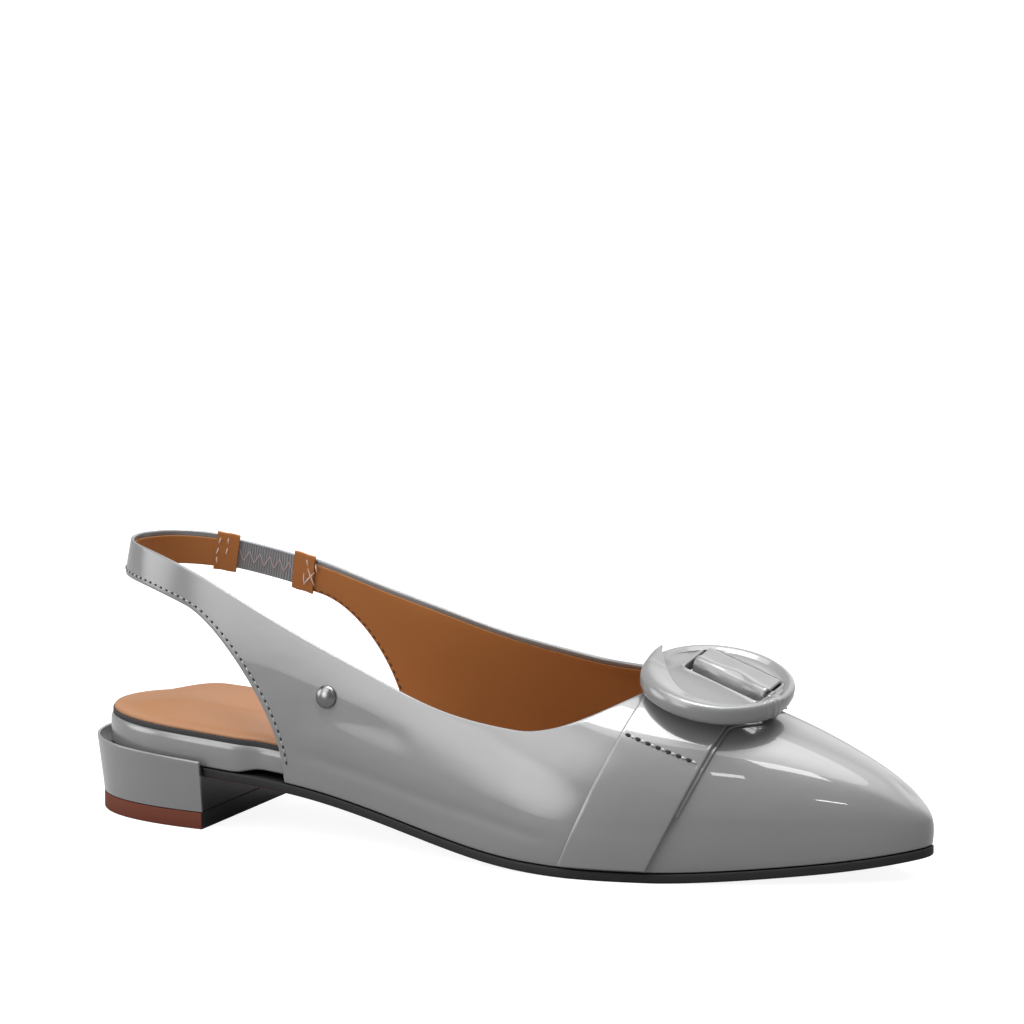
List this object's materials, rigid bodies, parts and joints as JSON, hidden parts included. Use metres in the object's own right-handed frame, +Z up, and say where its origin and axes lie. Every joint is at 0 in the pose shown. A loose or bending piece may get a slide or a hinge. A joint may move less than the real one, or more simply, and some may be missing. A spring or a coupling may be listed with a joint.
{
  "type": "sling back flat",
  "caption": "Right pointed-toe sling back flat on a low block heel, with a banded vamp and a round covered buckle.",
  "frame": {"origin": "centre of the heel's tread, where the top lift stands on the ground", "axes": "+X towards the toe, +Y towards the medial side, +Z up"},
  "size_m": [0.2636, 0.0825, 0.0803],
  "materials": {
    "patent": "high gloss patent, mid grey",
    "tan_lining": "smooth matt lining and sock, tan",
    "elastic": "ribbed woven elastic, grey",
    "sole": "satin moulded outsole, dark edge and red-brown tread",
    "lift": "matt red-brown top lift",
    "stud_metal": "small polished dark nickel stud"
  },
  "bodies": {
    "root": {"upper": "patent", "vamp_band": "patent", "buckle": "patent", "heel_block": "patent", "insole_board": "patent", "insole_sock": "tan_lining", "elastic_gore": "elastic", "outsole": "sole", "top_lift": "lift", "side_stud": "stud_metal"}
  },
  "joints": []
}
